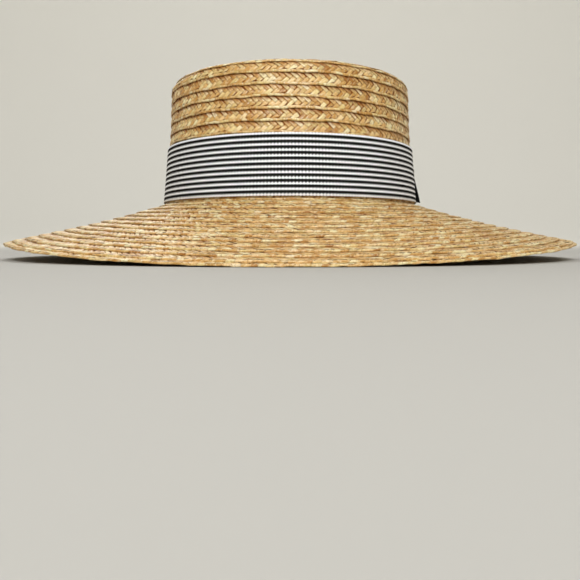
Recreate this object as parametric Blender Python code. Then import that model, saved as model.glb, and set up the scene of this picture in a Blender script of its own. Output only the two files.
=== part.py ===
"""A straw boater with a wide brim: a crown and a brim sewn from a plaited braid, a striped
ribbon round the foot of the crown, and a flat black bow over the ribbon's join.

The hat stands on its rim. +Z is up, the front faces -Y and the wearer's left is +X. Every
section is an oval that is longer from front to back than from side to side."""

import math

import bpy
import numpy as np

# Driving dimensions, in metres. A half width is measured from side to side.
CROWN_HEIGHT = 0.0855  # top of the brim's inner end to the flat tip
CROWN_HALF_WIDTH = 0.0860  # at the top of the side wall
CROWN_FLARE = 0.0042  # how much the wall widens on its way down to the foot
CORNER_RADIUS = 0.0070  # between the side wall and the tip
CROWN_THICKNESS = 0.0025
BRIM_HALF_WIDTH = 0.1947
BRIM_THICKNESS = 0.0025
BRIM_DROP = 0.0350  # from the foot of the crown to the rim, at front and back
SIDE_LIFT = 0.0105  # how much higher the rim is at the sides
OVAL_EXTRA = 0.0135  # how much the half length from front to back is over the half width

BRAID_WIDTH = 0.0103
BRAID_STEP = 0.0011  # the height of one braid's edge over the next row
CROWN_PITCH = 0.00735  # from row to row up the crown
BRIM_PITCH = 0.00785  # from row to row across the brim
FIRST_CROWN_EDGE = 0.00225  # height of the lowest row's edge above the foot

RIBBON_WIDTH = 0.0380
RIBBON_THICKNESS = 0.0010
RIBBON_FOOT = 0.0012  # height of the ribbon's lower edge above the foot of the crown
BOW_RIBBON_WIDTH = 0.0240
BOW_TURN = math.radians(26)  # how far the bow's knot sits behind the wearer's left side
BOW_HEIGHT = 0.0175  # of the knot's middle, above the foot of the crown
KNOT_HALF_WIDTH = 0.0065
KNOT_HALF_HEIGHT = 0.0088
LOOP_REACH = 0.0320  # from the knot's middle to the end of each loop
LOOP_PUFF = 0.0028  # how much wider than flat a loop opens
TAIL_REACH = 0.0505  # from the knot's middle to the end of each tail, at mid width
TAIL_SLANT = 0.10  # how much longer the lower corner of a tail is, and shorter the upper one
TAIL_DROOP = 0.0036
TAIL_CURL = 0.0024  # how far the lower corner of a tail stands off the band

GAP = 0.0003  # between pieces that touch

# Shape constants.
SEGMENTS = 40  # a multiple of 4, so that a flat of the rim lies at front and back
FLARE_POWER = 1.7
BRIM_BEND = 0.28  # 0 is a straight slope; more is steeper by the crown and flatter at the rim
BOXINESS = 0.5  # 1 makes the knot's section an oval, and less makes it a rounded box
RIM_ROUNDING = 0.0007
RIM_LAND = 0.0035  # width of the level strip under the rim

# Worked out from those.
FOOT_HALF_WIDTH = CROWN_HALF_WIDTH + CROWN_FLARE
FOOT_Z = BRIM_THICKNESS + BRIM_DROP
WALL_HEIGHT = CROWN_HEIGHT - CORNER_RADIUS
CORNER_LENGTH = CORNER_RADIUS * math.pi / 2
TIP_HALF_WIDTH = CROWN_HALF_WIDTH - CORNER_RADIUS
OPENING_HALF_WIDTH = FOOT_HALF_WIDTH - CROWN_THICKNESS
CROWN_LAP = BRAID_WIDTH - CROWN_PITCH
BAND_OUTSIDE = GAP + RIBBON_THICKNESS


def ring_angles():
    """Angles round the hat, with the middle of a segment at the front, back and each side."""
    return (np.arange(SEGMENTS) + 0.5) * 2 * math.pi / SEGMENTS


def oval(half_width, angle, height):
    """A point on the oval of this half width, as an array with x, y and z last."""
    half_width, angle, height = np.broadcast_arrays(half_width, angle, height)
    x = half_width * np.cos(angle)
    y = (half_width + OVAL_EXTRA) * np.sin(angle)
    return np.stack([x, y, height], axis=-1)


def wall_half_width(height):
    """Half width of the side wall, which flares towards its foot."""
    rise = np.clip(height / WALL_HEIGHT, 0, 1)
    return CROWN_HALF_WIDTH + CROWN_FLARE * (1 - rise) ** FLARE_POWER


def make_material(name, colour, roughness):
    material = bpy.data.materials.new(name)
    material.use_nodes = True
    principled = material.node_tree.nodes["Principled BSDF"]
    principled.inputs["Base Color"].default_value = (*colour, 1)
    principled.inputs["Roughness"].default_value = roughness
    principled.inputs["Metallic"].default_value = 0
    return material


def make_object(name, points, faces, material, parent):
    mesh = bpy.data.meshes.new(name)
    mesh.from_pydata(np.reshape(points, (-1, 3)).tolist(), [], faces)
    mesh.shade_smooth()
    mesh.set_sharp_from_angle(angle=math.radians(35))
    mesh.materials.append(material)
    piece = bpy.data.objects.new(name, mesh)
    piece.parent = parent
    bpy.context.collection.objects.link(piece)
    return piece


def grid_faces(rows, columns, rows_meet, columns_meet):
    """Quads between the neighbours in a grid of points, which may close either way round."""
    faces = []
    for row in range(rows if rows_meet else rows - 1):
        for column in range(columns if columns_meet else columns - 1):
            next_row = (row + 1) % rows
            next_column = (column + 1) % columns
            faces.append(
                (
                    row * columns + column,
                    row * columns + next_column,
                    next_row * columns + next_column,
                    next_row * columns + column,
                )
            )
    return faces


# Crown: rows of braid up the side wall and over the corner, and then in to the centre of the
# tip, whose outer row is lapped over the top of the side. Each row stands proud at its lower or
# outer edge and dips under the next at the other. A distance is measured up from the foot.


def crown_point(distance, depth):
    """Half width and height at a distance up the outside from the foot, sunk into the straw."""
    if distance < WALL_HEIGHT:
        return wall_half_width(distance) - depth, distance
    turn = (distance - WALL_HEIGHT) / CORNER_RADIUS
    if turn < math.pi / 2:
        radius = CORNER_RADIUS - depth
        return TIP_HALF_WIDTH + radius * math.cos(turn), WALL_HEIGHT + radius * math.sin(turn)
    inward = distance - WALL_HEIGHT - CORNER_LENGTH
    return TIP_HALF_WIDTH - inward, CROWN_HEIGHT - depth


def crown_edges():
    """Distances of the row edges on the side, of the tip's outer edge, and of the tip's rows."""
    length = WALL_HEIGHT + CORNER_LENGTH + TIP_HALF_WIDTH
    edges = np.arange(FIRST_CROWN_EDGE, length, CROWN_PITCH)
    on_side = edges < WALL_HEIGHT + CORNER_LENGTH
    on_tip = edges[~on_side]
    return edges[on_side], on_tip[0], on_tip[1:]


def row_steps(edges):
    """Profile over rows of braid: down under an edge, and up onto the row that it belongs to."""
    return [crown_point(edge, depth) for edge in edges for depth in (BRAID_STEP, 0)]


def build_crown_side(material, parent):
    side_edges, tip_edge, _ = crown_edges()
    foot_depth = BRAID_STEP * (1 - FIRST_CROWN_EDGE / CROWN_PITCH)
    flange = [
        crown_point(tip_edge, BRAID_STEP + GAP),
        crown_point(tip_edge + CROWN_LAP, BRAID_STEP + GAP),
        crown_point(tip_edge + CROWN_LAP, CROWN_THICKNESS),
    ]
    corner = WALL_HEIGHT + CORNER_LENGTH * np.array([1, 0.66, 0.33, 0])
    wall = WALL_HEIGHT * np.array([0.6, 0.35, 0.15, 0])
    inside = [crown_point(distance, CROWN_THICKNESS) for distance in (*corner, *wall)]
    profile = np.array([crown_point(0, foot_depth)] + row_steps(side_edges) + flange + inside)
    points = oval(profile[:, :1], ring_angles(), profile[:, 1:])
    faces = grid_faces(len(profile), SEGMENTS, True, True)
    make_object("crown_side", points, faces, material, parent)


def build_crown_tip(material, parent):
    _, tip_edge, tip_rows = crown_edges()
    inner_edge = tip_edge + CROWN_LAP + GAP
    lap = [
        crown_point(inner_edge, CROWN_THICKNESS),
        crown_point(inner_edge, BRAID_STEP),
        crown_point(tip_edge, BRAID_STEP),
        crown_point(tip_edge, 0),
    ]
    profile = np.array(lap + row_steps(tip_rows))
    points = oval(profile[:, :1], ring_angles(), profile[:, 1:])
    faces = grid_faces(len(profile), SEGMENTS, False, True)
    underside = list(range(SEGMENTS))[::-1]
    centre = [(len(profile) - 1) * SEGMENTS + index for index in range(SEGMENTS)]
    make_object("crown_tip", points, faces + [underside, centre], material, parent)


# Brim: inner rows lie over outer rows on top, and outer rows over inner rows underneath.


def rim_height(angle):
    """Height of the rim's underside: level across the front and back, raised at the sides."""
    level = math.sin(math.pi / SEGMENTS) ** 2
    return SIDE_LIFT * (np.cos(angle) ** 2 - level) / (1 - level)


def brim_top(half_width, angle):
    """Height of the smooth top of the brim below the foot of the crown."""
    across = (half_width - FOOT_HALF_WIDTH) / (BRIM_HALF_WIDTH - FOOT_HALF_WIDTH)
    across = np.clip(across, 0, 1)
    slope = (1 + BRIM_BEND) * across - BRIM_BEND * across**2
    return -(BRIM_DROP - rim_height(angle)) * slope


def brim_upper_side():
    """(half width, depth under the smooth top), from the head opening out to the rim."""
    profile = [(OPENING_HALF_WIDTH, GAP), (FOOT_HALF_WIDTH, GAP)]
    row_count = int((BRIM_HALF_WIDTH - FOOT_HALF_WIDTH) / BRIM_PITCH)
    for row in range(row_count, 0, -1):
        edge = BRIM_HALF_WIDTH - row * BRIM_PITCH
        profile += [(edge, 0), (edge, BRAID_STEP)]
    return profile + [(BRIM_HALF_WIDTH - RIM_ROUNDING, 0), (BRIM_HALF_WIDTH, RIM_ROUNDING)]


def brim_lower_side():
    """(half width, depth under the smooth top), from the outer row back to the head opening."""
    profile = []
    first_edge = BRIM_HALF_WIDTH - BRAID_WIDTH
    row_count = round((first_edge - FOOT_HALF_WIDTH) / BRIM_PITCH)
    for row in range(row_count):
        edge = first_edge - row * BRIM_PITCH
        profile += [(edge, BRIM_THICKNESS), (edge, BRIM_THICKNESS - BRAID_STEP)]
    last_edge = first_edge - row_count * BRIM_PITCH
    return profile + [(last_edge, BRIM_THICKNESS), (OPENING_HALF_WIDTH, BRIM_THICKNESS)]


def build_brim(material, parent):
    angles = ring_angles()
    below_rim = [
        (BRIM_HALF_WIDTH, RIM_ROUNDING),
        (BRIM_HALF_WIDTH - RIM_ROUNDING, 0),
        (BRIM_HALF_WIDTH - RIM_LAND, 0),
    ]
    rings = []
    for half_width, depth in brim_upper_side():
        rings.append(oval(half_width, angles, brim_top(half_width, angles) - depth))
    for half_width, height in below_rim:
        rings.append(oval(half_width, angles, rim_height(angles) - FOOT_Z + height))
    for half_width, depth in brim_lower_side():
        rings.append(oval(half_width, angles, brim_top(half_width, angles) - depth))
    faces = grid_faces(len(rings), SEGMENTS, True, True)
    faces = [face[::-1] for face in faces]
    make_object("brim", rings, faces, material, parent)


# Hat band: a ribbon round the foot of the crown, following the flare of the wall.


def build_hat_band(material, parent):
    heights = RIBBON_FOOT + RIBBON_WIDTH * np.array([0, 0.35, 0.7, 1])
    inside = [(wall_half_width(height) + GAP, height) for height in heights]
    outside = [(wall_half_width(height) + BAND_OUTSIDE, height) for height in heights]
    profile = np.array(inside[::-1] + outside)
    points = oval(profile[:, :1], ring_angles(), profile[:, 1:])
    faces = grid_faces(len(profile), SEGMENTS, True, True)
    make_object("hat_band", points, faces, material, parent)


# Bow: a strip with cut tails, a flattened loop band over it, and a knot wrapped round both.
# Each is a sheet of ribbon drawn as (along towards the front, up from the knot, out).


def on_band(along, up, out):
    """A point beside the knot, carried round the outside of the hat band."""
    height = BOW_HEIGHT + up
    half_width = wall_half_width(height) + BAND_OUTSIDE
    sideways = FOOT_HALF_WIDTH * math.sin(BOW_TURN)
    lengthways = (FOOT_HALF_WIDTH + OVAL_EXTRA) * math.cos(BOW_TURN)
    angle = BOW_TURN - along / math.hypot(sideways, lengthways)
    return oval(half_width + out, angle, height)


def past_knot(along, distance):
    """0 in and just beside the knot, rising to 1 over this distance."""
    start = KNOT_HALF_WIDTH + 2 * RIBBON_THICKNESS
    return np.clip((np.abs(along) - start) / distance, 0, 1)


def half_ribbon(along):
    """Half width of the bow's ribbon, gathered to half inside the knot."""
    return BOW_RIBBON_WIDTH / 4 * (1 + past_knot(along, 0.016) ** 0.8)


def build_ribbon(name, sheet, ends_meet, material, parent):
    """Thickens a sheet of points, whose rows may close on each other, into a ribbon."""
    rows, columns = sheet.shape[:2]
    faces = grid_faces(rows, columns, ends_meet, False)
    ribbon = make_object(name, sheet, faces, material, parent)
    thicken = ribbon.modifiers.new("thickness", "SOLIDIFY")
    thicken.thickness = RIBBON_THICKNESS
    thicken.offset = 0


def build_bow(material, parent):
    # Distances out from the hat band to the middle of each layer at the knot.
    layer = RIBBON_THICKNESS + GAP
    knot_back = GAP + RIBBON_THICKNESS / 2
    tail_layer = knot_back + layer
    loop_inner = tail_layer + layer
    loop_outer = loop_inner + layer
    knot_front = loop_outer + layer
    across = np.linspace(-1, 1, 4)

    # The tails lie on the band, droop, curl out at their ends and are cut at a slant.
    share = np.linspace(-1, 1, 15)[:, None]
    along = share * TAIL_REACH * (1 - TAIL_SLANT * across * np.abs(share))
    up = half_ribbon(along) * across - TAIL_DROOP * share**2
    end_third = np.clip(np.abs(share) * 3 - 2, 0, 1)
    curl = TAIL_CURL * end_third**2 * (1 - across) / 2
    out = tail_layer + (knot_back - tail_layer) * past_knot(along, 0.010) + curl
    build_ribbon("bow_tails", on_band(along, up, out), False, material, parent)

    # The loop band is pinched at the knot, opens between knot and end, and turns over there.
    turn = np.linspace(0, 2 * math.pi, 24, endpoint=False)[:, None]
    along = LOOP_REACH * np.cos(turn) + 0 * across
    up = half_ribbon(along) * across
    opening = layer + LOOP_PUFF * past_knot(along, 0.012)
    out = (loop_inner + loop_outer) / 2 + opening / 2 * np.sin(turn)
    build_ribbon("bow_loops", on_band(along, up, out), True, material, parent)

    # The knot goes all the way round the other two.
    turn = np.linspace(0, 2 * math.pi, 16, endpoint=False)[:, None]
    along = KNOT_HALF_WIDTH * np.array([-1, 0, 1]) + 0 * turn
    up = KNOT_HALF_HEIGHT * np.sign(np.sin(turn)) * np.abs(np.sin(turn)) ** BOXINESS
    half_depth = (knot_front - knot_back) / 2
    out = knot_back + half_depth * (1 + np.sign(np.cos(turn)) * np.abs(np.cos(turn)) ** BOXINESS)
    build_ribbon("bow_knot", on_band(along, up, out), True, material, parent)


def main():
    for thing in list(bpy.data.objects):
        bpy.data.objects.remove(thing)
    straw = make_material("straw", (0.53, 0.33, 0.13), 0.5)
    striped_ribbon = make_material("striped_ribbon", (0.45, 0.44, 0.42), 0.7)
    black_ribbon = make_material("black_ribbon", (0.02, 0.02, 0.018), 0.7)
    crown_foot = bpy.data.objects.new("crown_foot", None)
    crown_foot.location = (0, 0, FOOT_Z)
    bpy.context.collection.objects.link(crown_foot)
    build_crown_side(straw, crown_foot)
    build_crown_tip(straw, crown_foot)
    build_brim(straw, crown_foot)
    build_hat_band(striped_ribbon, crown_foot)
    build_bow(black_ribbon, crown_foot)


main()
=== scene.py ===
"""A straw boater with a wide brim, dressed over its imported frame: a crown and a brim of plaited
straw braid sewn in a spiral, a striped grosgrain band, and a flat black bow over its join."""

import math

import bpy
import numpy as np
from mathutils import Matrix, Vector


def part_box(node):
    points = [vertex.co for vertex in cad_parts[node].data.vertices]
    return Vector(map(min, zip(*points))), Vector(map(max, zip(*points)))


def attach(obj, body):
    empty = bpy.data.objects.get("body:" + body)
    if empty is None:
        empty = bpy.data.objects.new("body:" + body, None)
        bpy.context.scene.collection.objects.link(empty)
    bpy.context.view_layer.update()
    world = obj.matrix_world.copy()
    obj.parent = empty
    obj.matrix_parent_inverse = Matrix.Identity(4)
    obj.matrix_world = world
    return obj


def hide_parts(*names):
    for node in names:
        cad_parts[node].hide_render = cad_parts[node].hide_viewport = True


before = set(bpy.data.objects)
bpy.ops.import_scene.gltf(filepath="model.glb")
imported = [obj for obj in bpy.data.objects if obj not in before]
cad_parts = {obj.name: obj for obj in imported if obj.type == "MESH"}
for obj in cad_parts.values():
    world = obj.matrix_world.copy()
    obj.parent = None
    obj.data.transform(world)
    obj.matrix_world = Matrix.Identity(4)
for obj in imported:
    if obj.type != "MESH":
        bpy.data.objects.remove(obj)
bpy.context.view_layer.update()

# ---- Crown -----------------------------------------------------
# A flat oval tip and a steep side, coiled from one braid of split wheat straws, which lie in
# chevrons and fold back in loops at its selvedges. It starts in the middle of the tip, and
# each turn is stitched under the edge of the one before.

MM = 0.001
TURN = 2 * math.pi
HALF_FLAT = math.pi / 40  # half the angle of one flat of the frame's ovals


def frame_half_size(node, axis):
    """Half the width of a node's oval along an axis: half its box over cos(half a flat)."""
    low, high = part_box(node)
    return float(high[axis] - low[axis]) / 2 / math.cos(HALF_FLAT)


foot_z = float(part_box("crown_side")[0][2])
crown_height = float(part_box("crown_tip")[1][2]) - foot_z
brim_half_width = frame_half_size("brim", 0)
oval_extra = frame_half_size("brim", 1) - brim_half_width

crown_half_width = 86.0 * MM  # at the top of the side wall
crown_flare = 4.2 * MM  # how much wider the wall is at its foot
flare_power = 1.7  # the wall flares mostly near its foot
corner_radius = 7.0 * MM  # between the side wall and the tip
wall_height = crown_height - corner_radius
corner_length = corner_radius * math.pi / 2

braid_width = 10.3 * MM
lap_step = 1.1 * MM  # how far a braid's edge stands over the next row
crown_pitch = 7.35 * MM
straw_depth = 2.5 * MM  # through the two layers of a lap
bulge = 0.16 * MM  # how far a braid's middle stands proud
first_crown_edge = 2.25 * MM  # height of the lowest row's edge at the front
last_crown_edge = -1.4 * MM  # where the braid's end lies, a little way into the brim
crown_turns = 22  # of the spiral, from the middle of the tip to the lowest row
turns_before, turns_after = 0.35, 1.5  # coiled in the very middle, and past the lowest row
side_rows = 12  # from the foot up round the corner
tuck_share = 1 / 12  # of a turn, over which the braid's end is tucked away


def stand_on_oval(half_width, height, tilt, angle, lift):
    """x = w cos a, y = (w + e) sin a and z = height, moved by lift along the normal, which is
    the oval's normal ((w + e) cos a, w sin a) in plan, leaned up from level by tilt."""
    half_length = half_width + oval_extra
    normal_x = half_length * np.cos(angle)
    normal_y = half_width * np.sin(angle)
    out = lift * np.cos(tilt) / np.hypot(normal_x, normal_y)
    x = half_width * np.cos(angle) + out * normal_x
    y = half_length * np.sin(angle) + out * normal_y
    return np.stack([x, y, foot_z + height + lift * np.sin(tilt)], axis=-1)


def wall_half_width(height):
    """Half width of the side wall: top width + flare (1 - rise) ^ power."""
    rise = np.clip(height / wall_height, 0, 1)
    return crown_half_width + crown_flare * (1 - rise) ** flare_power


def on_crown(edge, across, angle, lift):
    """A point at edge + across up the crown's outside from its foot: up the flared wall, round
    a quarter circle of corner_radius, then straight in over the flat tip."""
    distance = edge + across
    rise = np.clip(distance / wall_height, 0, 1)
    turn = np.clip((distance - wall_height) / corner_radius, 0, math.pi / 2)
    inward = np.clip(distance - wall_height - corner_length, 0, None)
    half_width = wall_half_width(distance) - corner_radius * (1 - np.cos(turn)) - inward
    height = np.minimum(distance, wall_height) + corner_radius * np.sin(turn)
    slope = crown_flare * flare_power * (1 - rise) ** (flare_power - 1) / wall_height
    half_width = np.maximum(half_width, 0.02 * MM)
    return stand_on_oval(half_width, height, np.arctan(slope) + turn, angle, lift)


def spiral_route(surface, edge_at, first_angle, last_angle, pitch, seed):
    """A braid's exposed edge at every degree: the angle, the edge's place, the sunk depth and
    the length walked so far. Where the turn before lies nearer than one pitch, the braid sinks
    by lap_step (1 - gap / pitch), and over tuck_share of a turn its end comes back up."""
    angle = np.arange(first_angle, last_angle, math.radians(1))
    edge = edge_at(angle)
    points = surface(edge, 0, angle, 0)
    steps = np.linalg.norm(np.diff(points, axis=0), axis=1)
    gap = np.abs(edge_at(angle - TURN) - edge)
    to_end = np.clip((last_angle - angle) / (TURN * tuck_share), 0, 1)
    length = np.append(0, np.cumsum(steps))
    return {
        "surface": surface,
        "angle": angle,
        "edge": edge,
        "sink": lap_step * np.clip(1 - gap / pitch, 0, 1) * to_end,
        "length": length,
        "last_turn": float(np.interp(last_angle - TURN, angle, length)),
        "pitch": pitch,
        "thickness": straw_depth - lap_step * braid_width / pitch,
        "seed": seed,
    }


def wander(along, seed, waves):
    """A sum of sines over the braid's length, one for each (wavelength, height)."""
    phases = np.random.default_rng(seed).uniform(0, TURN, len(waves))
    total = 0
    for (wavelength, height), phase in zip(waves, phases):
        total = total + height * np.sin(TURN * along / wavelength + phase)
    return total


def braid_point(route, along, across, lift):
    """A point of the braid: its surface at that length along and across from the exposed edge,
    sunk by lap_step across / pitch, so that it dips under the turn before. The edge and the
    lift each wander a little with the length, as in hand sewing."""
    angle = np.interp(along, route["length"], route["angle"])
    edge = np.interp(along, route["length"], route["edge"])
    sink = np.interp(along, route["length"], route["sink"])
    edge_waves = [(67 * MM, 0.2 * MM), (29 * MM, 0.17 * MM), (13 * MM, 0.12 * MM)]
    lift_waves = [(43 * MM, 0.09 * MM), (19 * MM, 0.06 * MM)]
    edge = edge + wander(along, route["seed"], edge_waves)
    lift = lift + wander(along, route["seed"] + 1, lift_waves)
    lift = lift - lap_step * across / route["pitch"] - sink
    return route["surface"](edge, across, angle, lift)


chevron_pitch = 4.05 * MM  # along the braid, from one chevron to the next
arm_slope = math.tan(math.radians(44))
apex_across = 3.4 * MM  # from the exposed edge to the chevrons' points
loop_across = 1.45 * MM  # where the chevrons end and the selvedge's loops begin


def upper_arm(apex, middle, slope, u, v, reach):
    """Chevrons' upper arms, each between two parallel lines that run back and up from the row
    of apexes: across = base + v (reach - base), along = base's along - (across - base) / slope."""
    base = middle + u * chevron_pitch / 2 * slope
    across = base + v * (reach - base)
    along = apex + u * chevron_pitch / 2 - (across - base) / slope
    return along, across


def lower_arm(apex, middle, slope, u, v, reach):
    """Chevrons' lower arms, which run back and down from the next upper arm to the loops at the
    selvedge: across = top + v (reach - top), along = top's along - (top - across) / slope."""
    top = middle + (1 - u) * chevron_pitch / 2 * slope
    across = top + v * (reach - top)
    along = apex + (1 + u) * chevron_pitch / 2 - (top - across) / slope
    return along, across


def chevrons(route, apex, rng, inside):
    """Both arms of each chevron: flat straws with rounded sides, the left side over its
    neighbour's end, and the ends dipping under: lift = side lift + dip, in mm, at each of the
    places from 0 to 1 along it. About half of the lower arms fall short of the loops at one
    side and leave a small hole. Seen from inside, the upper arms reach the exposed edge."""
    each = (len(apex), 1, 1)
    u = np.array([0, 0.2, 0.8, 1])[None, None, :]
    waves = [(52 * MM, 0.22 * MM), (23 * MM, 0.16 * MM)]
    middle = apex_across + wander(apex, route["seed"] + 3, waves)
    hole = (rng.random(each) < 0.55) * rng.uniform(0.6, 1.5, each) * MM
    hole = hole * np.abs(u - (rng.random(each) < 0.5))
    arms = [
        {
            "arm": upper_arm,
            "places": [-0.07, 0.13, 0.45, 1] if inside else [-0.09, 0.16, 0.6, 1],
            "dips": [-0.5, 0, 0.03, 0],
            "side_lift": [-0.2, 0.08, 0.06, -0.36],
            "reach": braid_width - 0.4 * MM if inside else route["pitch"] + 1.2 * MM,
            # strength of the painted shade down the straws' sides, stronger on the upper arms
            "side_shade_strength": 1.04,
            "flip": False,
        },
        {
            "arm": lower_arm,
            "places": [-0.12, 0.2, 0.78, 1.06],
            "dips": [-0.5, 0, 0.03, -0.08],
            "side_lift": [-0.1, 0.06, 0.07, -0.22],
            "reach": loop_across + hole,
            "side_shade_strength": 0.92,
            "flip": True,
        },
    ]
    for arm in arms:
        v = np.array(arm["places"])[None, :, None]
        dip = np.array(arm["dips"])[None, :, None]
        slope = arm_slope * (1 + rng.normal(0, 0.08, each))
        shifted = apex + rng.normal(0, 0.2, each) * MM
        width = 0.5 + (u - 0.5) * (1 + rng.normal(0, 0.1, each))
        along, across = arm["arm"](shifted, middle, slope, width, v, arm["reach"])
        lift = (np.array(arm["side_lift"])[None, None, :] + dip) * MM
        lift = lift + rng.normal(0, 0.07, each) * MM + (u - 0.5) * rng.normal(0, 0.16, each) * MM
        yield {
            "place": (along, across, lift, u, v),
            # across the straw, scaled by the strength of the painted shade down its sides
            "side": 0.5 + (u - 0.5) * arm["side_shade_strength"],
            # painted shade where the straw's end dips under
            "end": np.clip(-dip / 0.4, 0, 1),
            "tone": 0.0,
            "variety": 1.0,
            "flip": arm["flip"],
        }


def selvedge_loops(route, apex, rng):
    """The straws' turns at the selvedge: long low humps laid over each other like a rope. Each
    is one section carried along the edge, from the upper side round to the lower side, and
    sized by 0.75 + 0.25 (1 - (2 u - 1)^2) ^ 0.3, so that it is lower at both ends."""
    each = (len(apex), 1, 1)
    u = np.linspace(0, 1, 5)[None, None, :]
    v = np.arange(4)[None, :, None] / 3
    section_across = np.array([1.85, 1.15, -0.04, 0.35])[None, :, None] * MM
    section_lift = np.array([-0.2, 0.05, -0.16, 0])[None, :, None] * MM
    section_lift[0, 3] = -route["thickness"]
    centre_across, centre_lift = 0.8 * MM, -0.4 * MM
    full = (1 - (2 * u - 1) ** 2) ** 0.3
    size = (0.75 + 0.25 * full) * (1 + rng.normal(0, 0.06, each))
    across = centre_across + (section_across - centre_across) * size
    across = across - 0.6 * MM * (u - 0.5) * (1 - v)
    lift = centre_lift + (section_lift - centre_lift) * size + 0.16 * MM * (u - 0.6)
    lift = lift + rng.normal(0, 0.06, each) * MM
    length = chevron_pitch * (1.42 + rng.normal(0, 0.08, each))
    along = apex - 2.6 * MM + length * (u - 0.5) + rng.normal(0, 0.25, each) * MM
    return {
        "place": (along, across, lift, u, v),
        "side": 0.5 + (u - 0.5) * 0.92,
        # painted shade at both ends of each loop and along its edge by the chevrons
        "end": 0.3 * (1 - full) + 0.2 * (v == 0),
        "tone": 0.1,
        "variety": 0.9,
        "flip": True,
    }


def grid_quads(count, rows, columns, start, flip):
    """Corner numbers of the quads in count grids of rows by columns points, the other way round
    where flip is set, so that they face outwards."""
    first = (np.arange(rows - 1)[:, None] * columns + np.arange(columns - 1)).ravel()
    corners = [0, columns, columns + 1, 1] if flip else [0, 1, columns + 1, columns]
    quads = first[:, None] + np.array(corners)
    return (start + np.arange(count)[:, None, None] * rows * columns + quads).reshape(-1, 4)


def tube_quads(rings, around):
    """Corner numbers of the quads of a flat closed tube: its sides from ring to ring, and a cap
    at each end between the ring's first half and its second half, which runs back."""
    here = np.arange(rings - 1)[:, None] * around + np.arange(around)
    beside = here - np.arange(around) + (np.arange(around) + 1) % around
    sides = np.stack([beside, here, here + around, beside + around], axis=-1).reshape(-1, 4)
    column = np.arange(around // 2 - 1)
    cap = np.stack([column, column + 1, around - 2 - column, around - 1 - column], -1)
    return np.concatenate([sides, cap, cap[:, ::-1] + (rings - 1) * around])


core_step = 4.5 * MM  # along the braid, from one ring of the core to the next
core_inset = 0.4 * MM  # from the braid's edges
core_depth = 0.22 * MM  # under the straws of each side


def core_tube(route, first, last, columns):
    """The inside of the plait, painted dark as shade: a flat closed tube a little under the
    straws of both sides, with that many points across the upper side and as many back across the
    lower."""
    count = max(2, round((last - first) / core_step))
    along = np.linspace(first, last, count)[:, None]
    upper = np.linspace(core_inset, braid_width - core_inset, columns)
    across = np.concatenate([upper, upper[::-1]])
    lift = np.repeat([-core_depth, core_depth - route["thickness"]], columns)
    points = braid_point(route, along, across[None, :], lift[None, :])
    return points.reshape(-1, 3), tube_quads(count, 2 * columns)


def add_vector(mesh, name, columns):
    """A vector for each vertex, from three columns of numbers."""
    values = np.stack(columns, axis=-1).astype(np.float32)
    mesh.attributes.new(name, "FLOAT_VECTOR", "POINT").data.foreach_set("vector", values.ravel())


def add_uv(mesh, name, pairs):
    """A UV map, from one pair of numbers for each corner of each face."""
    layer = mesh.uv_layers.new(name=name)
    layer.data.foreach_set("uv", np.asarray(pairs, dtype=np.float32).ravel())


def new_piece(name, points, quads, material, node):
    """A smooth mesh object that rides on the hat and stands for a node."""
    mesh = bpy.data.meshes.new(name)
    mesh.from_pydata(points.reshape(-1, 3).tolist(), [], quads.tolist())
    mesh.shade_smooth()
    mesh.materials.append(material)
    piece = bpy.data.objects.new(name, mesh)
    bpy.context.collection.objects.link(piece)
    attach(piece, "root")
    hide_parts(node)
    return piece


def straw_looks(along, kind, seed, rng):
    """Tone, warmth and whether each straw is split, which gets a groove of painted shade: normal
    draws round the middle, with some straws pale and some brown, and slow waves along the braid."""
    each = (len(along), 1, 1)
    pale = rng.random(each) < 0.18
    brown = rng.random(each) < 0.12
    tone = 0.5 + kind["tone"] + kind["variety"] * rng.normal(0, 0.2, each)
    tone = tone + wander(along, seed, [(37 * MM, 0.07), (131 * MM, 0.06), (17 * MM, 0.05)])
    tone = np.clip(tone + 0.33 * pale - 0.26 * brown, 0, 1)
    warmth = np.clip(0.4 + rng.normal(0, 0.2, each) + 0.45 * brown - 0.3 * pale, 0, 1)
    split = rng.random(each) < 0.3
    return tone, warmth, split


def bake_place(cell, cells, u, v, margin):
    """Where u and v, from 0 to 1, lie in one cell of a square map of cells by cells, inside the
    cell's margin."""
    across = cell % cells + margin + (1 - 2 * margin) * u
    up = cell // cells + margin + (1 - 2 * margin) * v
    return np.stack([across, up], axis=-1).reshape(-1, 2) / cells


lap_shade_start = 0.95 * MM  # how far before the next row's edge the painted shade under the lap begins
seam_blend = 0.6 * MM  # the width over which that painted shade grows
straw_map_size = (2.8, 4.5)  # across and along a straw in its weave map, about mm
straws_each = 3  # two arms and a loop for each chevron


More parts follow.
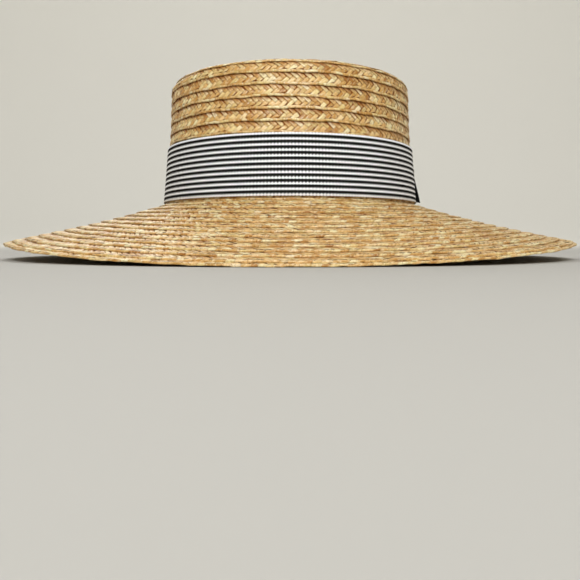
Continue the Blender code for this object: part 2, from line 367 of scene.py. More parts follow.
def sew_braid(name, node, route, first, last, inside=False, core_columns=0):
    """One piece of braid between two lengths of its route, seen from one side, its middle
    raised by bulge sin(pi across / pitch). Seen from inside, the braid is turned over: across
    becomes width - across, and lift becomes -thickness - lift."""
    rng = np.random.default_rng([route["seed"], int(inside), int(first / MM)])
    count = max(1, round((last - first) / chevron_pitch))
    apex = (first + np.arange(count) * (last - first) / count)[:, None, None]
    cells = math.ceil(math.sqrt(straws_each * count + 1))  # one for each straw and the core
    # plait holds side, dip shade and lap shade, both painted shade, straw_look tone, warmth and
    # split.
    points, quads, plait, straw_look, weave, atlas = [], [], [], [], [], []
    start = 0
    for kind in (*chevrons(route, apex, rng, inside), selvedge_loops(route, apex, rng)):
        parts = np.broadcast_arrays(*kind["place"], kind["side"], kind["end"])
        along, across, lift, u, v, side, end = parts
        # painted shade where the braid runs under the next row's edge
        lap_shade = np.clip((across - route["pitch"] + lap_shade_start) / seam_blend, 0, 1)
        lift = lift + bulge * np.sin(math.pi * np.clip(across / route["pitch"], 0, 1))
        if inside:
            across = braid_width - across
            lift = -route["thickness"] - lift
            lap_shade = lap_shade * (along < route["last_turn"])
        grid = braid_point(route, along, across, lift)
        rows, columns = grid.shape[1:3]
        grain = rng.uniform(0, 40, (count, 1, 1))
        cell = np.arange(count)[:, None, None] + len(points) * count
        even_v = (v - v.min()) / (v.max() - v.min())
        points.append(grid.reshape(-1, 3))
        quads.append(grid_quads(count, rows, columns, start, kind["flip"]))
        plait.append(np.stack([side, end, lap_shade], axis=-1).reshape(-1, 3))
        looks = [look + 0 * u for look in straw_looks(apex, kind, route["seed"] + 7, rng)]
        straw_look.append(np.stack(looks, axis=-1).reshape(-1, 3))
        straw_map = [u * straw_map_size[0] + grain, v * straw_map_size[1] + grain]
        weave.append(np.stack(straw_map, axis=-1).reshape(-1, 2))
        atlas.append(bake_place(cell, cells, u, even_v, 0.08))
        start += count * rows * columns
    if core_columns:
        spare = 1.5 * MM
        core_points, core_quads = core_tube(route, first - spare, last + spare, core_columns)
        number = np.arange(len(core_points))
        points.append(core_points)
        quads.append(core_quads + start)
        # the core gets full painted shade and a dark tone, standing in for the shade inside the
        # plait
        plait.append(np.tile([0.5, 1.0, 1.0], (len(number), 1)))
        straw_look.append(np.tile([0.2, 0.5, 0.0], (len(number), 1)))
        weave.append(np.zeros((len(number), 2)))
        round_it = number % (2 * core_columns) / (2 * core_columns)
        core_cell = straws_each * count
        atlas.append(bake_place(core_cell, cells, round_it, number / len(number), 0.1))
    points, quads = np.concatenate(points), np.concatenate(quads)
    piece = new_piece(name, points, quads, straw, node)
    add_vector(piece.data, "plait", np.concatenate(plait).T)
    add_vector(piece.data, "straw_look", np.concatenate(straw_look).T)
    add_uv(piece.data, "weave", np.concatenate(weave)[quads.ravel()])
    add_uv(piece.data, "OFBake", np.concatenate(atlas)[quads.ravel()])


def new_material(name):
    """A node material, its node tree and its Principled BSDF."""
    material = bpy.data.materials.new(name)
    material.use_nodes = True
    return material, material.node_tree, material.node_tree.nodes["Principled BSDF"]


def join(tree, value, socket):
    """Links a socket to value, or sets it to value where that is a number or a colour."""
    if isinstance(value, bpy.types.NodeSocket):
        tree.links.new(value, socket)
    else:
        socket.default_value = value


def add_node(tree, kind, settings, inputs):
    """A node with its settings, and its inputs joined by name or number."""
    node = tree.nodes.new(kind)
    for name, value in settings.items():
        setattr(node, name, value)
    for name, value in inputs.items():
        join(tree, value, node.inputs[name])
    return node


def maths(tree, operation, first, second=0.0):
    """One operation on two numbers."""
    settings = {"operation": operation}
    return add_node(tree, "ShaderNodeMath", settings, {0: first, 1: second}).outputs[0]


def mix_colours(tree, factor, first, second):
    """first (1 - factor) + second factor."""
    inputs = {0: factor, 6: first, 7: second}
    return add_node(tree, "ShaderNodeMix", {"data_type": "RGBA"}, inputs).outputs[2]


def three_numbers(tree, vector):
    """A vector's three numbers."""
    return add_node(tree, "ShaderNodeSeparateXYZ", {}, {0: vector}).outputs


def attribute(tree, name):
    """The three numbers of a piece's vector attribute."""
    node = add_node(tree, "ShaderNodeAttribute", {"attribute_name": name}, {})
    return three_numbers(tree, node.outputs["Vector"])


def own_uv(tree, name):
    """A piece's own UV map, as a vector."""
    return add_node(tree, "ShaderNodeUVMap", {"uv_map": name}, {}).outputs[0]


def ramp(tree, value, start, stop, low=0.0, high=1.0):
    """Value's smooth way from start to stop, as a number between low and high."""
    inputs = {0: value, 1: start, 2: stop, 3: low, 4: high}
    settings = {"interpolation_type": "SMOOTHSTEP"}
    return add_node(tree, "ShaderNodeMapRange", settings, inputs).outputs[0]


def noise(tree, vector, scale, detail=2.0, roughness=0.5):
    """A noise of about one wave for each unit of the scaled vector, round 0.5."""
    moved = add_node(tree, "ShaderNodeMapping", {}, {"Vector": vector, "Scale": scale}).outputs[0]
    inputs = {"Vector": moved, "Scale": 1.0, "Detail": detail, "Roughness": roughness}
    return add_node(tree, "ShaderNodeTexNoise", {}, inputs).outputs[0]


def add_relief(tree, principled, strength, depth, height):
    """Fine relief in a shader's normal: depth times a height from 0 to 1, and how strongly."""
    inputs = {"Strength": strength, "Distance": depth, "Height": height}
    bump = add_node(tree, "ShaderNodeBump", {}, inputs)
    join(tree, bump.outputs[0], principled.inputs["Normal"])


def screen_colour(red, green, blue):
    """A colour given in 0 to 255 on a screen, as linear light."""
    shares = np.array([red, green, blue]) / 255
    linear = np.where(shares > 0.04045, ((shares + 0.055) / 1.055) ** 2.4, shares / 12.92)
    return (*linear.tolist(), 1.0)


def straw_material():
    """Dried wheat straw: a tone and a warmth for each split straw, then one tint over another,
    each on its own share of the surface: fibres and fine grain along the straw, painted shade
    in lines down its sides, in the groove of a split straw and where it dips under, and
    painted shade along the seam under each lap. Its gloss is satin."""
    material, tree, principled = new_material("straw")
    side, end, lap_shade = attribute(tree, "plait")
    tone, warmth, split = attribute(tree, "straw_look")
    tones = add_node(tree, "ShaderNodeValToRGB", {}, {0: tone})
    straw_tones = [
        (0.0, (150, 100, 34)),
        (0.25, (190, 145, 72)),
        (0.5, (216, 177, 106)),
        (0.75, (240, 207, 143)),
        (1.0, (255, 245, 204)),
    ]
    while len(tones.color_ramp.elements) < len(straw_tones):
        tones.color_ramp.elements.new(0.5)
    for element, (place, colour) in zip(tones.color_ramp.elements, straw_tones):
        element.position = place
        element.color = screen_colour(*colour)
    weave = own_uv(tree, "weave")
    grain = noise(tree, weave, (7.0, 0.35, 1.0), 3.0, 0.6)
    blotch = noise(tree, weave, (0.6, 0.4, 1.0))
    fibre = noise(tree, weave, (1.7, 0.22, 1.0), 2.0, 0.55)
    from_middle = maths(tree, "ABSOLUTE", maths(tree, "SUBTRACT", side, 0.5))
    # painted shade in the crevices down both sides of each straw
    painted_side_shade = ramp(tree, from_middle, 0.37, 0.5, 0.0, 0.85)
    # painted shade in the groove down the middle of a split straw
    painted_groove_shade = maths(tree, "MULTIPLY", ramp(tree, from_middle, 0.0, 0.05, 0.45, 0.0), split)
    painted_line_shade = maths(tree, "MAXIMUM", painted_side_shade, painted_groove_shade)
    # painted shade where straws dip under
    painted_line_shade = maths(tree, "MAXIMUM", painted_line_shade, maths(tree, "MULTIPLY", end, 0.75))
    # painted shade under each lap, along the seam
    painted_lap_shade = maths(tree, "MULTIPLY", lap_shade, 0.9)
    tints = [
        (maths(tree, "MULTIPLY", warmth, 0.4), (206, 142, 72)),  # sun-browned
        (ramp(tree, warmth, 0.4, 0.1, 0.0, 0.45), (232, 221, 156)),  # cut unripe
        (ramp(tree, fibre, 0.5, 0.68, 0.0, 0.5), (255, 244, 206)),  # pale fibres
        (ramp(tree, fibre, 0.46, 0.3, 0.0, 0.5), (160, 106, 36)),  # brown fibres
        (ramp(tree, grain, 0.4, 0.75, 0.0, 0.35), (172, 120, 54)),  # fine streaks
        (ramp(tree, blotch, 0.5, 0.8, 0.0, 0.4), (184, 152, 88)),  # dull patches
        # painted shade in crevices, in grooves and where straws dip under
        (painted_line_shade, (116, 66, 8)),
        # painted shade under each lap
        (painted_lap_shade, (124, 62, 2)),
    ]
    colour = tones.outputs[0]
    for share, tint in tints:
        colour = mix_colours(tree, share, colour, screen_colour(*tint))
    join(tree, colour, principled.inputs["Base Color"])
    matt = maths(tree, "MAXIMUM", ramp(tree, fibre, 0.3, 0.75, 0.48, 0.32), painted_lap_shade)
    join(tree, matt, principled.inputs["Roughness"])
    principled.inputs["Specular IOR Level"].default_value = 0.48
    add_relief(tree, principled, 0.35, 0.12 * MM, grain)
    return material


straw = straw_material()


def crown_edge(angle):
    """The spiral's edge up from the foot: one pitch lower for each turn, and level at the end,
    a little way into the brim."""
    turns = (angle + math.pi / 2) / TURN
    edge = first_crown_edge + crown_pitch * (crown_turns - turns)
    return np.maximum(edge, last_crown_edge)


crown_route = spiral_route(
    on_crown,
    crown_edge,
    -math.pi / 2 - turns_before * TURN,
    -math.pi / 2 + (crown_turns + turns_after) * TURN,
    crown_pitch,
    seed=11,
)
tip_edge = first_crown_edge + side_rows * crown_pitch
tip_length = float(np.interp(-tip_edge, -crown_route["edge"], crown_route["length"]))
crown_length = float(crown_route["length"][-1])
tip_part = ("crown_tip", crown_route, 0, tip_length)
side_part = ("crown_side", crown_route, tip_length, crown_length)
sew_braid("crown_tip_braid", *tip_part, core_columns=4)
sew_braid("crown_side_braid", *side_part, core_columns=4)
sew_braid("crown_tip_inside", *tip_part, inside=True)
sew_braid("crown_side_inside", *side_part, inside=True)

# ---- Brim ------------------------------------------------------
# A wide brim of the same braid, worked on outwards from the foot of the crown. On top each
# row's outer edge lies over the next row out, and underneath each row's inner edge shows.

brim_drop = foot_z - straw_depth  # from the foot of the crown to the rim, front and back
side_lift = 10.5 * MM  # how much less the brim falls at both sides
brim_bend = 0.28  # how much steeper it falls near the crown
brim_pitch = 7.85 * MM
foot_half_width = crown_half_width + crown_flare
under_crown = 2.2 * MM  # how far the first row reaches in under the crown's foot
level_share = math.sin(HALF_FLAT) ** 2
brim_thickness = straw_depth - lap_step * braid_width / brim_pitch
uneven_straw = 0.2 * MM  # room for it between the rim and the surface
rim_share = 0.7  # of the way out, where the rows begin to settle
end_angle = math.pi / 2  # the braid's end is tucked under the rim at the back
rim_turns = 13  # of the spiral, from the crown's foot until it meets the rim
half_way_turns = 8  # in the inner half of the brim


def on_brim(edge, across, angle, lift):
    """A point at edge - across out from the middle, squeezed where there is less than a braid's
    width to the foot. The brim falls by its drop at that angle times (1 + bend) u - bend u^2,
    u being the share of the way from crown to rim, and its outer rows settle by near_rim^2, so
    that they rest on the surface."""
    foot = foot_half_width - under_crown
    squeeze = np.clip((edge - foot) / braid_width, 0.15, 1)
    half_width = np.maximum(edge - across * squeeze, foot)
    width = brim_half_width - foot_half_width
    share = np.clip((half_width - foot_half_width) / width, 0, 1)
    raised = side_lift * (np.cos(angle) ** 2 - level_share) / (1 - level_share)
    drop = brim_drop - raised
    height = -drop * ((1 + brim_bend) * share - brim_bend * share**2)
    slope = drop * (1 + brim_bend - 2 * brim_bend * share) / width
    near_rim = np.clip((share - rim_share) / (1 - rim_share), 0, 1)
    past_end = (angle - end_angle) / TURN % 1
    sunk = lap_step * past_end * np.minimum(1, (1 - past_end) / tuck_share)
    settle = (straw_depth - brim_thickness - uneven_straw - sunk) * near_rim**2
    return stand_on_oval(half_width, height - settle, math.pi / 2 - np.arctan(slope), angle, lift)


def brim_edge(angle):
    """The spiral's edge, one pitch further out for each turn, and level with the rim at last."""
    turns = (angle - end_angle) / TURN
    edge = brim_half_width + brim_pitch * (turns - rim_turns)
    return np.minimum(edge, brim_half_width - 0.1 * MM)


brim_route = spiral_route(
    on_brim,
    brim_edge,
    end_angle,
    end_angle + (rim_turns + 1) * TURN,
    brim_pitch,
    seed=23,
)
brim_length = float(brim_route["length"][-1])
half_way_angle = end_angle + half_way_turns * TURN
half_way = float(np.interp(half_way_angle, brim_route["angle"], brim_route["length"]))
inner_part = ("brim", brim_route, 0, half_way)
outer_part = ("brim", brim_route, half_way, brim_length)
sew_braid("brim_top_inner", *inner_part, core_columns=6)
sew_braid("brim_top_outer", *outer_part, core_columns=2)
sew_braid("brim_under_inner", *inner_part, inside=True)
sew_braid("brim_under_outer", *outer_part, inside=True)


def trimmed_ends(name, along, across, heading, lift, curl, seed):
    """Cut ends of spliced straws: flat closed strips that leave the brim's braid at a heading
    from its length, one for each along, and bend away from it by curl s^2."""
    rng = np.random.default_rng(seed)
    each = (len(along), 1, 1)
    rings, around = 4, 4
    share = np.linspace(0, 1, rings)[None, :, None]
    side = np.array([-1, 1, 1, -1])[None, None, :]
    face = np.array([1, 1, -1, -1])[None, None, :]
    distance = (share - 0.3) * rng.uniform(2.8, 5.4, each) * MM
    half_width = rng.uniform(0.35, 0.6, each) * MM * (1 - 0.25 * share)
    along = along.reshape(each) + distance * np.cos(heading) - side * half_width * np.sin(heading)
    across = across + distance * np.sin(heading) + side * half_width * np.cos(heading)
    lift = lift + curl * share**2 * rng.uniform(0.4, 1.2, each) + face * 0.09 * MM
    points = braid_point(brim_route, *np.broadcast_arrays(along, across, lift))
    first = np.arange(len(along))[:, None, None] * rings * around
    quads = (first + tube_quads(rings, around)).reshape(-1, 4)
    piece = new_piece(name, points, quads, straw, "brim")
    tone = np.broadcast_to(rng.uniform(0.45, 0.95, each), points.shape[:3]).ravel()
    flat = 0 * tone
    add_vector(piece.data, "plait", [flat + 0.5, flat, flat])
    add_vector(piece.data, "straw_look", [tone, flat + 0.4, flat])
    number = np.arange(len(tone))
    weave = np.stack([number % around * 0.7, number / 9.0], axis=-1)
    add_uv(piece.data, "weave", weave[quads.ravel()])


# Short ends stand out all over the underside, slanting either way.
ends_rng = np.random.default_rng(5)
under_ends = (46, 1, 1)
under_places = ends_rng.uniform(0.05, 0.97, under_ends) * brim_length
under_sign = np.where(ends_rng.random(under_ends) < 0.5, 1, -1)
under_heading = under_sign * ends_rng.uniform(0.4, 1.0, under_ends)
trimmed_ends(
    "brim_straw_ends",
    along=under_places,
    across=ends_rng.uniform(3.0, 9.5, under_ends) * MM,
    heading=under_heading,
    lift=0.1 * MM - brim_route["thickness"],
    curl=-0.9 * MM,
    seed=31,
)
# Three cut ends stick out under the front of the rim, and a few more round the rest of it.
rim_places = np.radians([-99.0, -92.0, -83.0, -61.0, -128.0, -9.0, 152.0, 71.0, 24.0])
rim_angles = end_angle + rim_turns * TURN + (rim_places - end_angle) % TURN
trimmed_ends(
    "rim_straw_ends",
    along=np.interp(rim_angles, brim_route["angle"], brim_route["length"])[:, None, None],
    across=0.9 * MM,
    heading=-math.pi / 2 + ends_rng.normal(0, 0.35, (len(rim_places), 1, 1)),
    lift=-0.55 * MM,
    curl=-0.1 * MM,
    seed=37,
)

# ---- Hat band --------------------------------------------------
# A grosgrain ribbon 38 mm wide, white with eleven black stripes woven along it, drawn tight
# round the foot of the crown. Its thick weft stands up in ribs from edge to edge.

ribbon_width = 38.0 * MM
ribbon_foot = 1.2 * MM  # above the foot of the crown
ribbon_gap = 0.3 * MM  # between a ribbon and what it lies on
ribbon_thickness = 1.0 * MM  # with the room it takes on the uneven straw
woven_thickness = 0.6 * MM
stripe_count = 22.7  # white and black together, the uppermost white a little narrower
band_rib_pitch = 2.1 * MM
band_rib_height = 0.16 * MM
band_slack = 0.12 * MM  # how far it stands off in five soft waves round the crown
face_columns = 24  # points from edge to edge
rounding = 0.004  # of its width, by which each selvedge's middle stands past it
rib_steps = 4  # rows of points for each rib
rib_roundness = 0.6


def rib_places(curve, start, stop, pitch, closed):
    """Parameters at every quarter of a rib along a curve, by its length; the number of ribs, a
    multiple of four; and the length, which is the sum of 3600 short steps."""
    fine = np.linspace(start, stop, 3601)
    steps = np.linalg.norm(np.diff(curve(fine), axis=0), axis=1)
    length = np.append(0, np.cumsum(steps))
    ribs = round(float(length[-1]) / pitch / 4) * 4
    marks = np.linspace(0, length[-1], ribs * rib_steps + 1)
    return np.interp(marks[:-1] if closed else marks, length, fine), ribs, float(length[-1])


def rib_profile(rows):
    """Height of the ribs in each row, as a share: |sin pi n| ^ roundness, a cord in each rib n."""
    return np.abs(np.sin(math.pi * np.arange(rows) / rib_steps)) ** rib_roundness


def woven_ribbon(name, points, ribs, stripes, material, node):
    """A closed mesh from a grid of points, its rows along the ribbon and its columns round the
    section. The weave numbers ribs by row and stripes by column, and the bake map lays the
    ribbon's quarters side by side."""
    rows, columns = points.shape[:2]
    row = np.arange(ribs * rib_steps)[:, None, None] + np.array([0, 1, 1, 0])
    column = np.arange(columns)[None, :, None] + np.array([0, 0, 1, 1])
    row, column = (part.reshape(-1, 4) for part in np.broadcast_arrays(row, column))
    if rows > ribs * rib_steps:
        left = np.arange(columns // 2 - 1)[:, None]
        cap = np.concatenate([left, left + 1, columns - 2 - left, columns - 1 - left], axis=1)
        row = np.concatenate([row, 0 * cap, 0 * cap + rows - 1])
        column = np.concatenate([column, cap, cap[:, ::-1]])
    quads = row % rows * columns + column % columns
    piece = new_piece(name, points, quads, material, node)
    add_uv(piece.data, "weave", np.stack([row / rib_steps, stripes[column]], axis=-1))
    quarter = np.minimum(row[:, :1] * 4 // (ribs * rib_steps), 3)
    along = row * 4 / (ribs * rib_steps) - quarter
    rise = (quarter + 0.03 + 0.94 * column / columns) / 4
    add_uv(piece.data, "OFBake", np.stack([0.01 + 0.98 * along, rise], axis=-1))
    return piece


def grosgrain_weave():
    """The weave that both ribbons share: Rib is |sin pi n| ^ roundness, as in the mesh, and
    Thread a fine noise, longer along the ribs."""
    group = bpy.data.node_groups.new("grosgrain_weave", "ShaderNodeTree")
    group.interface.new_socket("Weave", in_out="INPUT", socket_type="NodeSocketVector")
    group.interface.new_socket("Rib", in_out="OUTPUT", socket_type="NodeSocketFloat")
    group.interface.new_socket("Thread", in_out="OUTPUT", socket_type="NodeSocketFloat")
    weave = group.nodes.new("NodeGroupInput").outputs["Weave"]
    wave = maths(group, "SINE", maths(group, "MULTIPLY", three_numbers(group, weave)[0], math.pi))
    rib = maths(group, "POWER", maths(group, "ABSOLUTE", wave), rib_roundness)
    thread = noise(group, weave, (7.0, 3.0, 1.0), 2.0, 0.6)
    add_node(group, "NodeGroupOutput", {}, {"Rib": rib, "Thread": thread})
    return group


grosgrain = grosgrain_weave()


def ribbon_threads(tree):
    """The shared weave in a material, on its piece's own map: Rib, Thread."""
    inputs = {"Weave": own_uv(tree, "weave")}
    return add_node(tree, "ShaderNodeGroup", {"node_tree": grosgrain}, inputs).outputs


def striped_material():
    """White and black warp stripes, matt, with painted shade in the rib valleys of the white ones
    and a painted glint on the tops of the black beads. The black ones are beaded, because each
    rib spreads their floats, the beads reaching further at their lower edge: white where
    sin pi (stripe + 0.16 bead) > 1.1 bead - 0.31, and bead is rib ^ 2.5."""
    material, tree, principled = new_material("striped_ribbon")
    rib, thread = ribbon_threads(tree)
    stripe = three_numbers(tree, own_uv(tree, "weave"))[1]
    bead = maths(tree, "POWER", rib, 2.5)
    hanging = maths(tree, "ADD", stripe, maths(tree, "MULTIPLY", bead, 0.16))
    wave = maths(tree, "SINE", maths(tree, "MULTIPLY", hanging, math.pi))
    spread = maths(tree, "SUBTRACT", wave, maths(tree, "MULTIPLY", bead, 1.1))
    black = ramp(tree, spread, -0.26, -0.36)
    uneven = ramp(tree, thread, 0.35, 0.7)
    white = mix_colours(tree, uneven, screen_colour(246, 248, 252), screen_colour(232, 233, 236))
    # painted shade in the rib valleys of the white stripes
    painted_valley_shade = ramp(tree, rib, 0.5, 0.0, 0.0, 0.12)
    white = mix_colours(tree, painted_valley_shade, white, screen_colour(168, 166, 163))
    glint = maths(tree, "MULTIPLY", maths(tree, "MULTIPLY", wave, -1.0), bead)
    glint = ramp(tree, glint, 0.5, 1.0)
    ink = mix_colours(tree, glint, screen_colour(9, 9, 9), screen_colour(34, 34, 32))
    join(tree, mix_colours(tree, black, white, ink), principled.inputs["Base Color"])
    add_relief(tree, principled, 0.4, 0.08 * MM, thread)
    principled.inputs["Roughness"].default_value = 0.85
    principled.inputs["Specular IOR Level"].default_value = 0.12
    return material


def foot_oval(angle):
    """The crown's outline at its foot: the oval of foot_half_width at height 0."""
    return stand_on_oval(foot_half_width, 0 * angle, 0, angle, 0)


# The section goes up the ribbed face, round the upper selvedge, down the plain back and round
# the lower selvedge. Rise is a share of the width, and out the distance from the wall.
band_angle, band_ribs, band_length = rib_places(foot_oval, 0, TURN, band_rib_pitch, True)
face_rise = np.linspace(0, 1, face_columns)
face_out = ribbon_gap + ribbon_thickness
back_out = face_out - woven_thickness
section_rise = np.concatenate([face_rise, [1 + rounding, 1, 0, -rounding]])
section_out = np.concatenate([0 * face_rise + face_out, np.array([0.3, 0, 0, 0.3]) * MM + back_out])
ridge = band_rib_height * (rib_profile(len(band_angle)) - 1)[:, None] * (section_out == face_out)
looseness = band_slack * np.sin(band_angle * 5 + 1)[:, None] * np.clip(section_rise, 0, 1)
band_height = ribbon_foot + ribbon_width * section_rise[None, :] + 0 * band_angle[:, None]
band_half_width = wall_half_width(band_height) + section_out + ridge + looseness
band_points = stand_on_oval(band_half_width, band_height, 0, band_angle[:, None], 0)
band = woven_ribbon(
    "ribbon_band",
    band_points,
    band_ribs,
    np.clip(np.append(section_rise, 0), 0, 1) * stripe_count,
    striped_material(),
    "hat_band",
)

# ---- Bow -------------------------------------------------------
# A flat tailored bow of black grosgrain behind the wearer's left side, over the join of the
# band: two slanted tails, a pressed double loop, and a short ribbon wrapped round its middle.

bow_turn = math.radians(26)  # round from the wearer's left towards the back
bow_height = 17.5 * MM  # of its middle, above the foot of the crown
bow_ribbon_width = 24.0 * MM
knot_half_width = 6.5 * MM
knot_half_height = 8.8 * MM
loop_reach = 32.0 * MM  # from the knot's middle to the loop's end
loop_puff = 2.8 * MM  # how far the loop stands open
tail_reach = 50.5 * MM
tail_slant = 0.10  # of its reach, by which each tail's lower corner is the longer
tail_droop = 3.6 * MM
tail_curl = 2.4 * MM
bow_rib_pitch = 1.1 * MM
bow_rib_height = 0.13 * MM
pleat_depth = 0.28 * MM
layer = ribbon_thickness + ribbon_gap  # from one ribbon of the bow to the next
knot_back = ribbon_gap + ribbon_thickness / 2
tail_layer = knot_back + layer
loop_middle = tail_layer + 1.5 * layer
knot_front = tail_layer + 3 * layer


def on_band(along, up, out):
    """A point beside the knot, carried round the outside of the hat band: the angle is the
    bow's own, less along / the oval's radius there."""
    height = bow_height + up
    half_width = wall_half_width(height) + ribbon_gap + ribbon_thickness
    sideways = foot_half_width * math.sin(bow_turn)
    lengthways = (foot_half_width + oval_extra) * math.cos(bow_turn)
    angle = bow_turn - along / math.hypot(sideways, lengthways)
    return stand_on_oval(half_width + out, height, 0, angle, 0)


def past_knot(along, distance):
    """Share of a distance gone since the ribbon came out from under the knot:
    (|along| - start) / distance, from 0 to 1."""
    start = knot_half_width + 2 * ribbon_thickness
    return np.clip((np.abs(along) - start) / distance, 0, 1)


def half_ribbon(along):
    """The ribbon's half width: width / 4 (1 + past_knot ^ 0.8), so the knot halves it."""
    return bow_ribbon_width / 4 * (1 + past_knot(along, 16 * MM) ** 0.8)


def pleats(along, across):
    """Folds that the knot gathers the ribbon into, and which open out past it: depth x gathered
    x cos(2.5 pi across + 0.4), and slow waves of 0.22 mm along and across the rest."""
    gathered = (1 - past_knot(along, 17 * MM)) ** 1.5
    folds = pleat_depth * gathered * np.cos(2.5 * math.pi * across + 0.4)
    return folds + 0.22 * MM * np.sin(along / (6.5 * MM) + 1.7 * across) * (1 - gathered)


def tail_surface(share, across):
    """The tails: straight through behind the knot, drooping by the square of the share of their
    reach, and curling out at the lower corners of their slanted ends."""
    along = share * tail_reach * (1 - tail_slant * across * np.abs(share))
    end_third = np.clip(np.abs(share) * 3 - 2, 0, 1)
    out = tail_layer + (knot_back - tail_layer) * past_knot(along, 10 * MM)
    out = out + tail_curl * end_third**2 * (1 - across) / 2 + pleats(along, across)
    up = half_ribbon(along) * across - tail_droop * share**2
    return on_band(along, up, out)


def loop_surface(share, across):
    """The double loop: straight behind, half a circle round one end, straight in front, and half
    a circle round the other end, opening by its puff past the knot."""
    marks = [0, 0.4, 0.5, 0.9, 1]
    end_radius = (layer + loop_puff) / 2
    centre = (loop_reach - end_radius) * np.interp(share, marks, [-1, 1, 1, -1, -1])
    bend = math.pi / 2 * np.interp(share, marks, [-1, -1, 1, 1, 3])
    along = centre + end_radius * np.cos(bend) + 0 * across
    radius = (layer + loop_puff * past_knot(along, 12 * MM)) / 2
    out = loop_middle + radius * np.sin(bend) + pleats(along, across)
    up = half_ribbon(along) * across - 0.9 * MM * (along / loop_reach) ** 2
    return on_band(along, up, out)


def knot_surface(turn, across):
    """The short ribbon: a squared oval round the other layers, which has sin and cos of the turn
    to the power 1/2, with soft creases in front."""
    along = knot_half_width * across + 0 * turn
    crease = 0.25 * MM * np.cos(3 * math.pi * across + 0.6) * np.clip(np.cos(turn) * 2, 0, 1)
    half_depth = (knot_front - knot_back) / 2
    up = knot_half_height * np.sign(np.sin(turn)) * np.abs(np.sin(turn)) ** 0.5
    depth = half_depth * (1 + np.sign(np.cos(turn)) * np.abs(np.cos(turn)) ** 0.5)
    return on_band(along, up + 0 * along, knot_back + depth + crease)


def bow_ribbon(name, node, surface, start, stop, closed, columns, held, rests_on):
    """A ribbon of the bow from its middle surface: both faces stand out from it along the
    normal, which is the cross of the ways along and across, and the ribs raise them."""
    across = np.linspace(-1, 1, columns)[None, :]

    def middle_line(share):
        """The surface at across = 0."""
        return surface(share[:, None], np.zeros((1, 1)))[:, 0]

    share, ribs, length = rib_places(middle_line, start, stop, bow_rib_pitch, closed)
    middle = surface(share[:, None], across)
    ahead = np.gradient(middle, axis=0)
    if closed:
        ahead = np.roll(middle, -1, 0) - np.roll(middle, 1, 0)
    normal = np.cross(ahead, np.gradient(middle, axis=1))
    normal = normal / np.linalg.norm(normal, axis=-1, keepdims=True)
    ridge = bow_rib_height * (rib_profile(len(middle)) - 1)[:, None, None]
    front = middle + normal * (woven_thickness / 2 + ridge)
    back = middle - normal * (woven_thickness / 2 + ridge)
    points = np.concatenate([front, back[:, ::-1]], axis=1)
    weave_across = np.concatenate([across[0], across[0, ::-1], across[0, :1]]) * 11  # about mm
    piece = woven_ribbon(name, points, ribs, weave_across, black_ribbon, node)


def black_material():
    """Black grosgrain with a low silky gloss on its ribs, and painted light on their tops, uneven
    with the threads, which makes them a little greyer.
    """
    material, tree, principled = new_material("black_ribbon")
    rib, thread = ribbon_threads(tree)
    # painted light on the rib tops, uneven with the threads
    top = maths(tree, "MULTIPLY", rib, ramp(tree, thread, 0.3, 0.7, 0.3, 1.0))
    colour = mix_colours(tree, top, screen_colour(11, 11, 12), screen_colour(29, 29, 30))
    join(tree, colour, principled.inputs["Base Color"])
    join(tree, ramp(tree, thread, 0.3, 0.7, 0.5, 0.68), principled.inputs["Roughness"])
    add_relief(tree, principled, 0.5, 0.06 * MM, thread)
    principled.inputs["Specular IOR Level"].default_value = 0.3
    return material


black_ribbon = black_material()
ribbons = [  # name, node, surface and its start and stop, closed, columns, held, rests on
    ("bow_tail_ribbon", "bow_tails", tail_surface, -1, 1, False, 15, "laid", "hat_band"),
    ("bow_loop_ribbon", "bow_loops", loop_surface, 0, 1, True, 15, "folded", "bow_tails"),
    ("bow_knot_ribbon", "bow_knot", knot_surface, 0, TURN, True, 13, "folded", "bow_loops"),
]
for ribbon in ribbons:
    bow_ribbon(*ribbon)

# ---- Floor, light and camera -----------------------------------
# A round floor of pale plaster that bends up into a wall, soft light from in front, above and
# the far side, a wash of light on the wall behind, and the camera low before the hat.

floor_radius = 1.5
wall_bend = 0.9  # radius of the bend between floor and wall
wall_top = 3.2
backdrop_columns = 64


def build_backdrop():
    """A floor that turns up into a wall all round: a profile of floor, quarter circle and wall
    carried round the middle."""
    bend = np.linspace(0, math.pi / 2, 13)
    floor_rings = [0.02, 0.3, 0.7, 1.1]
    bend_out = floor_radius + wall_bend * np.sin(bend)
    bend_up = wall_bend * (1 - np.cos(bend))
    out = np.concatenate([floor_rings, bend_out, [floor_radius + wall_bend]])
    height = np.concatenate([0 * np.array(floor_rings), bend_up, [wall_top]])
    angle = np.linspace(0, TURN, backdrop_columns, endpoint=False)
    x = out[:, None] * np.cos(angle)
    y = out[:, None] * np.sin(angle)
    points = np.stack([x, y, height[:, None] + 0 * angle], axis=-1).reshape(-1, 3)
    column = np.arange(backdrop_columns)
    here = np.arange(len(out) - 1)[:, None] * backdrop_columns + column
    beside = here - column + (column + 1) % backdrop_columns
    quads = np.stack([here, here + backdrop_columns, beside + backdrop_columns, beside], -1)
    mesh = bpy.data.meshes.new("backdrop")
    faces = quads.reshape(-1, 4).tolist() + [column.tolist()]
    mesh.from_pydata(points.tolist(), [], faces)
    mesh.shade_smooth()
    piece = bpy.data.objects.new("backdrop", mesh)
    bpy.context.collection.objects.link(piece)
    return piece


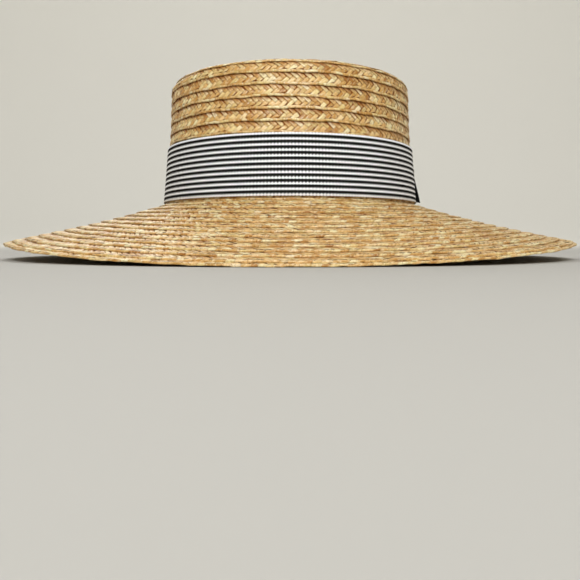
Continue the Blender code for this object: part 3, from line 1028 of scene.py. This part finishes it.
def plaster_material():
    """Matt plaster, painted brighter with the distance from the middle to make up for the light
    falling off towards the wall: its colour goes from the floor's greyer one to the wall's."""
    material, tree, principled = new_material("pale_backdrop")
    place = add_node(tree, "ShaderNodeTexCoord", {}, {}).outputs["Object"]
    length = add_node(tree, "ShaderNodeVectorMath", {"operation": "LENGTH"}, {0: place})
    # painted light: brighter with the distance from the middle
    painted_wall_light = ramp(tree, length.outputs[1], 0.3, 1.7)
    floor_colour, wall_colour = screen_colour(185, 183, 177), screen_colour(249, 247, 240)
    pale = mix_colours(tree, painted_wall_light, floor_colour, wall_colour)
    join(tree, pale, principled.inputs["Base Color"])
    principled.inputs["Roughness"].default_value = 0.85
    return material


build_backdrop().data.materials.append(plaster_material())
hat_middle = (0, 0, 0.05)


def add_light(name, place, aim, size, power, spread=180):
    """A round soft light, and the angle in degrees that its rays spread over."""
    lamp = bpy.data.lights.new(name, "AREA")
    lamp.shape = "DISK"
    lamp.size = size
    lamp.energy = power
    lamp.spread = math.radians(spread)
    light = bpy.data.objects.new(name, lamp)
    bpy.context.collection.objects.link(light)
    light.location = place
    light.rotation_euler = (Vector(aim) - Vector(place)).to_track_quat("-Z", "Y").to_euler()


add_light("window", (0.02, -1.5, 0.95), hat_middle, size=0.7, power=9.7, spread=120)
add_light("ceiling", (0.2, 0.3, 1.9), hat_middle, size=1.4, power=6)
add_light("far_side", (-0.5, 1.4, 1.2), hat_middle, size=0.9, power=3.0, spread=120)
add_light("wall_wash", (0, 0.9, 1.9), aim=(0, 2.3, 0.5), size=1.0, power=7)
world = bpy.data.worlds.new("soft_room")
world.use_nodes = True
world.node_tree.nodes["Background"].inputs["Color"].default_value = screen_colour(228, 228, 226)
world.node_tree.nodes["Background"].inputs["Strength"].default_value = 0.26
bpy.context.scene.world = world
bpy.context.scene.view_settings.view_transform = "Standard"

camera_distance = 0.525
camera_height = 12 * MM  # just above the floor, looking level
camera_data = bpy.data.cameras.new("camera")
camera_data.lens = 44.1
camera_data.sensor_width = 36
camera_data.shift_y = -0.085  # the hat stands in the upper half of the view
camera_data.clip_start = 0.01
camera = bpy.data.objects.new("camera", camera_data)
bpy.context.collection.objects.link(camera)
camera.location = (0, -camera_distance, camera_height)
camera.rotation_euler = (math.pi / 2, 0, 0)
bpy.context.scene.camera = camera
